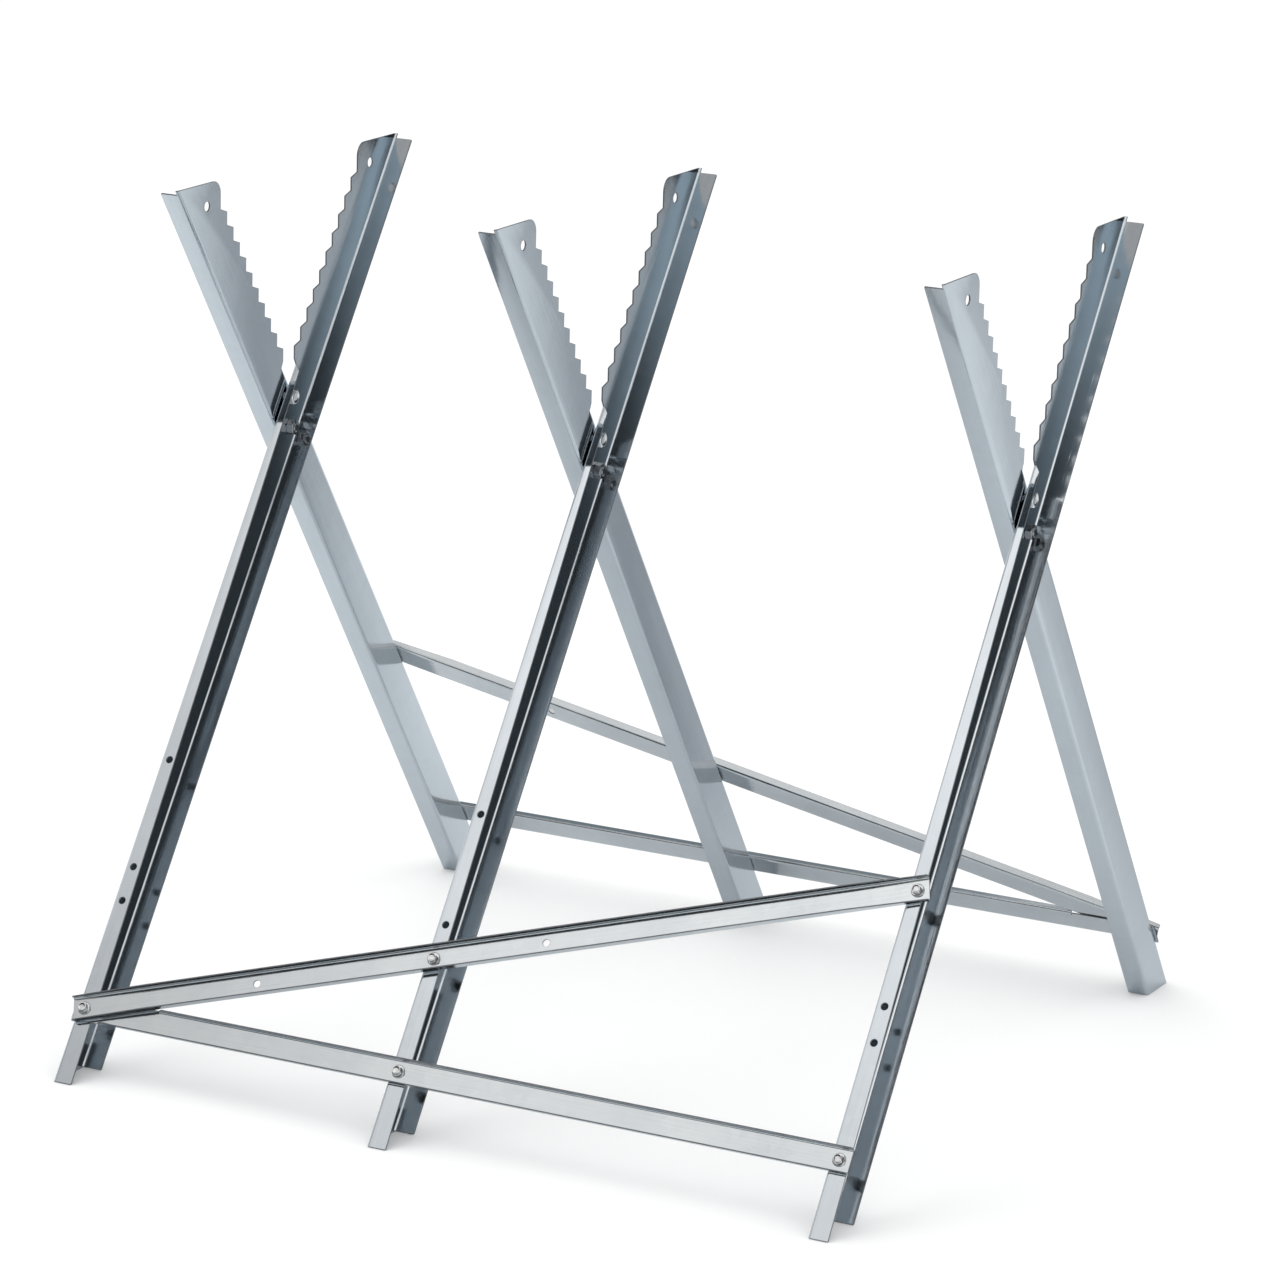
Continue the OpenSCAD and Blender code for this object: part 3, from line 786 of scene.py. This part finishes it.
def zinc_skin():
    """Node group: tone, roughness and relief of a zinc skin, from cells, clouds and rolling streaks."""
    if "Zinc skin" in bpy.data.node_groups:
        return bpy.data.node_groups["Zinc skin"]
    tree = bpy.data.node_groups.new("Zinc skin", "ShaderNodeTree")
    sockets = {
        "INPUT": {"Vector": ("Vector",), "Color": ("Bright", "Dull"),
                  "Float": ("Cells", "Clouds", "Streaks", "Roughness", "Spread")},
        "OUTPUT": {"Color": ("Colour",), "Float": ("Roughness", "Relief")},
    }
    for way, kinds in sockets.items():
        for kind, names in kinds.items():
            for name in names:
                tree.interface.new_socket(name, in_out=way, socket_type=f"NodeSocket{kind}")
    given = add_node(tree, "NodeGroupInput")
    place = given["Vector"]

    cell_values = {"Vector": place, "Scale": given["Cells"], "Randomness": 1.0}
    cells = add_node(tree, "ShaderNodeTexVoronoi", cell_values)["Color"]
    cell_tones = add_node(tree, "ShaderNodeSeparateColor", {"Color": cells})
    cloud_values = {"Vector": place, "Scale": given["Clouds"], "Detail": 4.0, "Roughness": 0.55}
    clouds = add_node(tree, "ShaderNodeTexNoise", cloud_values)[0]
    stretch = add_node(tree, "ShaderNodeVectorMath", {0: place, 1: ROLLING_STRETCH}, operation="MULTIPLY")[0]
    streak_values = {"Vector": stretch, "Scale": given["Streaks"], "Detail": 3.0, "Roughness": 0.6}
    streaks = add_node(tree, "ShaderNodeTexNoise", streak_values)[0]

    def blend(cell_tone, cell_share, cloud_share, streak_share):
        """Sum of cells, clouds and streaks, each times its share."""
        total = work_out(tree, "MULTIPLY", cell_tone, cell_share)
        total = work_out(tree, "MULTIPLY_ADD", clouds, cloud_share, total)
        return work_out(tree, "MULTIPLY_ADD", streaks, streak_share, total)

    tone = ramp(tree, blend(cell_tones[0], 0.07, 0.63, 0.30), TONE_CONTRAST)
    uneven = work_out(tree, "SUBTRACT", blend(cell_tones[1], 0.10, 0.55, 0.35), 0.5)
    add_node(tree, "NodeGroupOutput", {
        "Colour": mix_colours(tree, tone, given["Bright"], given["Dull"]),
        "Roughness": work_out(tree, "MULTIPLY_ADD", uneven, given["Spread"], given["Roughness"]),
        "Relief": blend(cell_tones[2], 0.01, 0.87, 0.12),
    })
    return tree


def bend_highlight_mask(tree, blank, sizes):
    """Mask of the painted highlight: 1 along both bends of a leg's blank and 0 away from them.

    The gap to the nearer bend line is divided by the width of a bend, and the mask fades out near half
    of it. The bend of the brace flange ends where the flange does.
    """
    _, bend, past_bend = bend_sizes(sizes)
    place = add_node(tree, "ShaderNodeSeparateXYZ", {0: blank})
    plain_line = past_bend - sizes.plain_reach - bend / 2
    brace_line = sizes.brace_reach - past_bend + bend / 2
    plain_gap, brace_gap = (
        work_out(tree, "ABSOLUTE", work_out(tree, "SUBTRACT", place["X"], line))
        for line in (plain_line, brace_line))
    ended = work_out(tree, "GREATER_THAN", place["Y"], sizes.brace_flange_rise)
    gap = work_out(tree, "MINIMUM", plain_gap, work_out(tree, "ADD", brace_gap, ended))
    share = work_out(tree, "DIVIDE", gap, bend)
    return ramp(tree, share, HIGHLIGHT_FADE, interpolation_type="SMOOTHSTEP")


def metal_finish(name, bright, dull, vector, skin, relief):
    """Metal with the zinc skin, on the blank's own coordinates or on the object's, made once."""
    if name in bpy.data.materials:
        return bpy.data.materials[name]
    material = bpy.data.materials.new(name)
    material.use_nodes = True
    material.diffuse_color = opaque(bright)
    tree = material.node_tree
    place = add_node(tree, "ShaderNodeTexCoord")[vector]
    colours = {"Bright": opaque(bright), "Dull": opaque(dull)}
    zinc = add_node(tree, "ShaderNodeGroup", {"Vector": place, **colours, **skin}, node_tree=zinc_skin())
    bump = add_node(tree, "ShaderNodeBump", {"Strength": 1.0, "Distance": relief, "Height": zinc["Relief"]})
    feed(tree.nodes["Principled BSDF"], {
        "Metallic": 1.0,
        "Base Color": zinc["Colour"],
        "Roughness": zinc["Roughness"],
        "Normal": bump["Normal"],
    })
    return material


def leg_finish(finish):
    """Zinc of the legs."""
    skin = {"Cells": 85.0, "Clouds": 6.0, "Streaks": 700.0, "Roughness": 0.10, "Spread": 0.06}
    return metal_finish("galvanised_leg", finish.leg_zinc, finish.dull_zinc, "UV", skin, SHEET_RELIEF)


def inner_leg_finish(finish, sizes):
    """Zinc of the legs' inner faces, with a highlight painted along the bends as brighter zinc."""
    name = "galvanised_leg_inner"
    if name in bpy.data.materials:
        return bpy.data.materials[name]
    material = leg_finish(finish).copy()
    material.name = name
    tree = material.node_tree
    shader = tree.nodes["Principled BSDF"]
    # Painted highlight: the zinc turns to the bright bend colour along the bends
    painted_highlight = bend_highlight_mask(tree, tree.nodes["Texture Coordinate"].outputs["UV"], sizes)
    zinc = shader.inputs["Base Color"].links[0].from_socket
    feed(shader, {"Base Color": mix_colours(tree, painted_highlight, zinc, opaque(finish.bend_highlight))})
    return material


def brace_finish(finish):
    """Zinc of the braces."""
    skin = {"Cells": 95.0, "Clouds": 7.0, "Streaks": 800.0, "Roughness": 0.13, "Spread": 0.07}
    return metal_finish("galvanised_brace", finish.brace_zinc, finish.dull_zinc, "UV", skin, SHEET_RELIEF)


def cut_finish(finish):
    """Bare steel of the sheared edges."""
    dark = [CUT_SHADE * value for value in finish.cut_steel]
    skin = {"Cells": 400.0, "Clouds": 120.0, "Streaks": 300.0, "Roughness": 0.42, "Spread": 0.25}
    return metal_finish("sheared_edge", finish.cut_steel, dark, "Object", skin, CUT_RELIEF)


def bolt_finish(finish):
    """Zinc plating of the brace bolts and lock bolts and of their nuts."""
    return metal_finish(
        "zinc_plating", finish.plating, finish.dull_plating, "Object", PLATING_SKIN, PLATING_RELIEF)


def pivot_finish(finish):
    """Zinc plating of the pivot bolts, their nuts and washers, which has gone dark."""
    return metal_finish(
        "dark_plating", finish.dark_plating, finish.cut_steel, "Object", PLATING_SKIN, PLATING_RELIEF)


# Operators

class SAWSTAND_OT_legs(bpy.types.Operator):
    """Press the six legs from their toothed blanks"""

    bl_idname = "sawstand.make_legs"
    bl_label = "Legs"

    def execute(self, context):
        sizes = context.scene.sawstand_legs
        finish = context.scene.sawstand_finish
        materials = [leg_finish(finish), cut_finish(finish), inner_leg_finish(finish, sizes)]
        lock_rise = axis_seat("lock_bolt_left", RIGHT)[0][2] - PIVOT[2]
        middle, far = frame_places()
        for side, corner_frame in (("front", "left"), ("rear", "right")):
            row, out, up = side_axes(side)
            corner, end = (bolt_axis(side, name) for name in ("corner", "diagonal_end"))
            reach = abs(corner[0] - web_face(f"{side}_leg_{corner_frame}"))
            low, climb = (corner - PIVOT) @ up, (end - corner) @ up
            holes = [(reach, low + climb * place / far) for place in (0.0, middle, far - middle, far)]
            pattern = leg_blank(sizes, holes, lock_rise)
            for name in FRAMES:
                node = f"{side}_leg_{name}"
                origin = np.array([web_face(node), PIVOT[1], PIVOT[2]])
                sheet_piece(node, pattern, (origin, row, out, up), sizes, materials)
        return {"FINISHED"}


class SAWSTAND_OT_braces(bpy.types.Operator):
    """Fold the lower and diagonal braces of both sides"""

    bl_idname = "sawstand.make_braces"
    bl_label = "Braces"

    def execute(self, context):
        sizes = context.scene.sawstand_braces
        finish = context.scene.sawstand_finish
        materials = [brace_finish(finish), cut_finish(finish)]
        middle, far = frame_places()
        for side in SIDES:
            row, out, up = side_axes(side)
            at = {name: bolt_axis(side, name) for name in BRACE_BOLTS}
            corner = at["corner"]
            rise = at["diagonal_end"] - corner
            climb = math.atan2(rise @ up, rise @ row)
            upper_start = sizes.width / 2 * (1 + 1 / math.cos(climb)) / math.tan(climb) + sizes.lip_gap

            lower_holes = [(at[name] - corner) @ row for name in ("corner", "lower_middle", "lower_end")]
            starts = (upper_start, sizes.under_lip_start)
            pattern = brace_blank(sizes, far, sizes.lower_lip, lower_holes, *starts)
            sheet_piece(f"{side}_lower_brace", pattern, (corner, out, up, row), sizes, materials)

            start = corner + sizes.corner_lift * out
            along = unit(rise + (sizes.end_lift - sizes.corner_lift) * out)
            across = unit(np.cross(out, along))
            outwards = np.cross(along, across)
            places = [(at[name] - corner) @ row for name in ("corner", "diagonal_middle", "diagonal_end")]
            places += [middle / 2, far - middle] if side == "front" else [far - middle / 2]
            holes = [place / math.cos(climb) for place in places]
            pattern = brace_blank(sizes, np.linalg.norm(rise), sizes.diagonal_lip, holes)
            place = (start, outwards, across, along)
            sheet_piece(f"{side}_diagonal_brace", pattern, place, sizes, materials)
        return {"FINISHED"}


class SAWSTAND_OT_brace_bolts(bpy.types.Operator):
    """Turn the collared bolts and the nuts of the braces"""

    bl_idname = "sawstand.make_brace_bolts"
    bl_label = "Brace bolts"

    def execute(self, context):
        sizes = context.scene.sawstand_bolts
        grip = context.scene.sawstand_legs.sheet + context.scene.sawstand_braces.sheet
        material = bolt_finish(context.scene.sawstand_finish)
        for side in SIDES:
            _, out, up = side_axes(side)
            for i, name in enumerate(BRACE_BOLTS):
                node = f"{side}_bolt_{name}"
                seat, tall = axis_seat(node, out)
                collar = tall - sizes.collar_t - sizes.bolt_head
                rings = hexagon_head(sizes.bolt_flats, collar + sizes.collar_t, tall)
                rings += collar_rings(sizes.collar_d, sizes.collar_t, collar)
                rings += threaded_shank(sizes.bolt_d, sizes.bolt_thread, collar, collar - grip)
                twist = row_turn(BRACE_BOLT_TURN, i)
                turned_piece(node, rings, seat, out, up, material, twist=twist)

                node = f"{side}_nut_{name}"
                seat, tall = axis_seat(node, out)
                rings = nut_rings(sizes.nut_flats, sizes.bolt_d, tall)
                twist = row_turn(BRACE_NUT_TURN, i)
                turned_piece(node, rings, seat, out, up, material, closed=True, twist=twist)
        return {"FINISHED"}


class SAWSTAND_OT_pivots(bpy.types.Operator):
    """Turn the pivot bolts, their nuts and the washers between the legs"""

    bl_idname = "sawstand.make_pivots"
    bl_label = "Pivots"

    def execute(self, context):
        sizes = context.scene.sawstand_bolts
        material = pivot_finish(context.scene.sawstand_finish)
        for i, name in enumerate(FRAMES):
            node = f"pivot_bolt_{name}"
            seat, tall = axis_seat(node, -RIGHT)
            nut_seat, nut_tall = axis_seat(f"pivot_nut_{name}", RIGHT)
            base = tall - sizes.pivot_head
            rings = hexagon_head(sizes.pivot_flats, base, tall)
            rings += threaded_shank(sizes.pivot_d, sizes.pivot_thread, base, seat[0] - nut_seat[0])
            twist = row_turn(PIVOT_BOLT_TURN, i)
            turned_piece(node, rings, seat, -RIGHT, UPRIGHT, material, twist=twist)

            rings = nut_rings(sizes.pivot_flats, sizes.pivot_d, nut_tall)
            twist = row_turn(PIVOT_NUT_TURN, i)
            turned_piece(
                f"pivot_nut_{name}", rings, nut_seat, RIGHT, UPRIGHT, material, closed=True, twist=twist)

            node = f"pivot_washer_{name}"
            seat, thick = axis_seat(node, RIGHT)
            low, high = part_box(node)
            rings = washer_rings(sizes.washer_hole / 2, (high[1] - low[1]) / 2, thick)
            turned_piece(node, rings, seat, RIGHT, UPRIGHT, material, closed=True)
        return {"FINISHED"}


class SAWSTAND_OT_locks(bpy.types.Operator):
    """Turn the lock bolts above the pivots and their nuts"""

    bl_idname = "sawstand.make_locks"
    bl_label = "Lock bolts"

    def execute(self, context):
        sizes = context.scene.sawstand_bolts
        material = bolt_finish(context.scene.sawstand_finish)
        up_front, up_rear = (side_axes(side)[2] for side in SIDES)
        for name in FRAMES:
            node = f"lock_bolt_{name}"
            seat, tall = axis_seat(node, RIGHT)
            neck = tall - sizes.lock_collar_t - sizes.pivot_head
            rings = hexagon_head(sizes.pivot_flats, neck + sizes.lock_collar_t, tall)
            rings += neck_rings(sizes.lock_collar_d, sizes.lock_collar_t, neck)
            rings += threaded_shank(sizes.pivot_d, sizes.pivot_thread, neck, LOCK_THREAD * neck)
            turned_piece(node, rings, seat, RIGHT, up_front, material)

            node = f"lock_nut_{name}"
            seat, tall = axis_seat(node, -RIGHT)
            rings = nut_rings(
                sizes.pivot_flats, sizes.pivot_d, tall, sizes.lock_collar_d, sizes.lock_collar_t)
            turned_piece(node, rings, seat, -RIGHT, up_rear, material, closed=True)
        return {"FINISHED"}


class SAWSTAND_OT_studio(bpy.types.Operator):
    """Set up the floor, the light, the cards that the steel mirrors and the camera"""

    bl_idname = "sawstand.set_studio"
    bl_label = "Studio"

    def execute(self, context):
        studio = context.scene.sawstand_studio
        context.scene.view_settings.view_transform = "Standard"
        self.lay_floor(studio)
        self.light(studio)
        self.stand_cards(studio)
        self.aim_camera(context, studio)
        return {"FINISHED"}

    def spread_sheet(self, name, points, material):
        """A flat sheet of the studio, from its four corners."""
        sheet = put_mesh(name, points, np.arange(4), np.array([4]), [material], uv=SQUARE + 0.5)
        return sheet

    def lay_floor(self, studio):
        """A matt pale floor that looks darker in the steel, most of all along a stripe behind the stand."""
        material = bpy.data.materials.new("studio_floor")
        material.use_nodes = True
        tree = material.node_tree
        place = add_node(tree, "ShaderNodeTexCoord")["Object"]
        sides = {0: place, 1: STRIPE_ACROSS}
        across = add_node(tree, "ShaderNodeVectorMath", sides, operation="DOT_PRODUCT")["Value"]
        beside = work_out(tree, "ABSOLUTE", work_out(tree, "ADD", across, STRIPE_SHIFT))
        stripe = ramp(tree, beside, (0.0, STRIPE_HALF))
        around = mix_colours(tree, stripe, opaque(studio.dim_floor), opaque(studio.far_floor))
        away = add_node(tree, "ShaderNodeVectorMath", {0: place}, operation="LENGTH")["Value"]
        spread = ramp(tree, away, NEAR_RADII, (NEAR_SHARE, 1.0))
        mirrored = mix_colours(tree, spread, opaque(studio.near_floor), around)
        glossy = add_node(tree, "ShaderNodeLightPath")["Is Glossy Ray"]
        feed(tree.nodes["Principled BSDF"], {
            "Base Color": mix_colours(tree, glossy, opaque(studio.floor), mirrored),
            "Roughness": 1.0,
            "Specular IOR Level": 0.0,
        })
        points = 2 * studio.floor_size * np.column_stack([SQUARE, np.zeros(4)])
        self.spread_sheet("studio_floor", points, material)

    def light(self, studio):
        """White all around: plain white for what is seen and mirrored, and the set strength for the rest."""
        world = bpy.data.worlds.new("studio_light")
        bpy.context.scene.world = world
        world.use_nodes = True
        tree = world.node_tree
        ray = add_node(tree, "ShaderNodeLightPath")
        seen = work_out(tree, "MAXIMUM", ray["Is Camera Ray"], ray["Is Glossy Ray"])
        plain = work_out(tree, "MAXIMUM", seen, ray["Is Transmission Ray"])
        strength = add_node(tree, "ShaderNodeMix", {"Factor": plain, "A": studio.daylight, "B": 1.0})
        feed(tree.nodes["Background"], {"Color": opaque(WHITE), "Strength": strength["Result"]})

        lamp = bpy.data.lights.new("key", "AREA")
        lamp.energy = studio.key
        lamp.size = studio.key_size
        key = bpy.data.objects.new("key", lamp)
        bpy.context.scene.collection.objects.link(key)
        key.location = KEY_PLACE
        key.rotation_euler = (KEY_AIM - KEY_PLACE).to_track_quat("-Z", "Y").to_euler()
        key.visible_glossy = False

    def stand_cards(self, studio):
        """Cards that only mirrored rays see, each with a twin turned half round for the rear of the stand.

        A card's glow goes from one strength to another between two heights on it, and between two places
        across it a share is added.
        """
        dark, white = studio.dark_card, studio.white_card
        cards = [
            Card("card_right", (0.44, -0.53, 0.73), 2.6, (2.2, 2.4), dark,
                 strengths=(0.52, 10.0), heights=(0.57, 0.75), places=(0.35, 0.65), share=0.3),
            Card("card_left", (-0.44, -0.53, 0.73), 2.6, (2.2, 2.4), white,
                 strengths=(0.72, 1.05), heights=(0.15, 0.55), places=(0.22, 0.48), share=0.40),
            Card("card_low", (-0.44, -0.86, 0.25), 4.2, (6.0, 3.0), dark, strengths=(0.25, 0.25)),
            Card("card_high", (-0.57, 0.15, 0.81), 2.5, (1.4, 0.6), dark, strengths=(3.0, 3.0)),
            Card("card_top", (-0.42, -0.29, 0.86), 2.55, (2.2, 0.95), white, strengths=(0.5, 0.5)),
        ]
        for card in cards:
            away = unit(np.array(card.direction))
            side = unit(RIGHT - away[0] * away)
            up = np.cross(away, side)
            side, up = (side, up) if up[2] > 0 else (-side, -up)
            width, height = card.size
            points = CARD_CENTRE + card.distance * away + SQUARE @ np.array([width * side, height * up])
            material = self.glow(card)
            for name, turn in ((card.name, (1, 1, 1)), (f"{card.name}_twin", (-1, -1, 1))):
                sheet = self.spread_sheet(name, points * turn, material)
                sheet.visible_camera = False
                sheet.visible_diffuse = False
                sheet.visible_shadow = False
                sheet.visible_transmission = False

    def glow(self, card):
        """Emission of a card on its own coordinates."""
        material = bpy.data.materials.new(card.name)
        material.use_nodes = True
        tree = material.node_tree
        tree.nodes.remove(tree.nodes["Principled BSDF"])
        place = add_node(tree, "ShaderNodeSeparateXYZ", {0: add_node(tree, "ShaderNodeTexCoord")["UV"]})
        rise = ramp(tree, place["Y"], card.heights, card.strengths)
        added = ramp(tree, place["X"], card.places, (0.0, card.share))
        strength = work_out(tree, "ADD", rise, added)
        emission = add_node(tree, "ShaderNodeEmission", {"Color": opaque(card.shade), "Strength": strength})
        feed(tree.nodes["Material Output"], {"Surface": emission[0]})
        return material

    def aim_camera(self, context, studio):
        """Camera on a circle round the stand, turned to look at the aim point and then rolled."""
        turn, lift, roll = studio.azimuth, studio.elevation, studio.roll
        right = np.array([math.cos(turn), math.sin(turn), 0.0])
        back = np.array([math.sin(turn) * math.cos(lift), -math.cos(turn) * math.cos(lift), math.sin(lift)])
        up = np.cross(back, right)
        rolled_right = math.cos(roll) * right + math.sin(roll) * up
        rolled_up = np.cross(back, rolled_right)
        eye = np.array([0.0, 0.0, studio.aim_height]) + studio.distance * back
        lens = bpy.data.cameras.new("camera")
        lens.lens = studio.lens
        lens.sensor_width = SENSOR_WIDTH
        camera = bpy.data.objects.new("camera", lens)
        context.scene.collection.objects.link(camera)
        camera.matrix_world = Matrix(np.column_stack([rolled_right, rolled_up, back]).tolist()).to_4x4()
        camera.location = eye
        context.scene.camera = camera


class SAWSTAND_PT_panel(bpy.types.Panel):
    """Steps that build the stand, in order."""

    bl_idname = "SAWSTAND_PT_panel"
    bl_label = "Saw stand"
    bl_space_type = "VIEW_3D"
    bl_region_type = "UI"
    bl_category = "Saw stand"

    def draw(self, context):
        for operator in OPERATORS:
            self.layout.operator(operator.bl_idname)


OPERATORS = (
    SAWSTAND_OT_legs, SAWSTAND_OT_braces, SAWSTAND_OT_brace_bolts, SAWSTAND_OT_pivots, SAWSTAND_OT_locks,
    SAWSTAND_OT_studio,
)
CLASSES = (*PROPERTY_GROUPS.values(), *OPERATORS, SAWSTAND_PT_panel)


def register():
    for cls in CLASSES:
        bpy.utils.register_class(cls)
    for name, group in PROPERTY_GROUPS.items():
        setattr(bpy.types.Scene, name, PointerProperty(type=group))


def unregister():
    for name in PROPERTY_GROUPS:
        delattr(bpy.types.Scene, name)
    for cls in reversed(CLASSES):
        bpy.utils.unregister_class(cls)


def main():
    register()
    bpy.ops.sawstand.make_legs()
    bpy.ops.sawstand.make_braces()
    bpy.ops.sawstand.make_brace_bolts()
    bpy.ops.sawstand.make_pivots()
    bpy.ops.sawstand.make_locks()
    bpy.ops.sawstand.set_studio()


if __name__ == "__main__":
    main()
